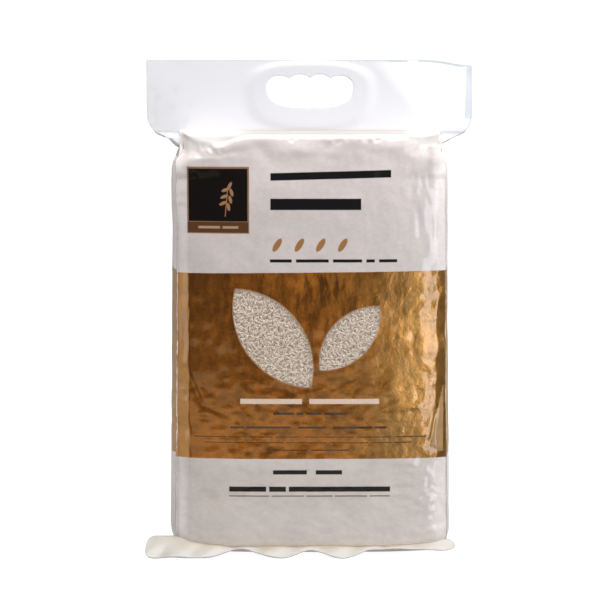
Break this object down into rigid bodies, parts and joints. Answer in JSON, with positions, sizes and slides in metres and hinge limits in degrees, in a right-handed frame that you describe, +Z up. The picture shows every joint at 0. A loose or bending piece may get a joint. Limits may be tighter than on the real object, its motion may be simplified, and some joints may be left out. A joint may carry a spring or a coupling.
{
  "type": "vacuum-packed rice bag with carrying handle",
  "caption": "Brick-shaped vacuum pack of rice in side-gusset film, with a flat sealed header, a welded oval handle and a clear-windowed front, standing on its base.",
  "frame": {"origin": "under the middle of the pack's outer box, on the surface it stands on", "axes": "+Z up towards the header and its handle, -Y out of the printed front, +X to the right of a viewer facing the front"},
  "size_m": [0.2742, 0.0818, 0.4144],
  "materials": {
    "printed_film": "gloss laminate, greyish white with a metallic gold band",
    "header_film": "milky translucent film, heat sealed",
    "window_film": "clear glossy film",
    "handle": "satin white moulded polythene",
    "rice": "milled white rice, slightly translucent"
  },
  "bodies": {
    "root": {"bag": "printed_film", "handle": "handle"}
  },
  "joints": []
}
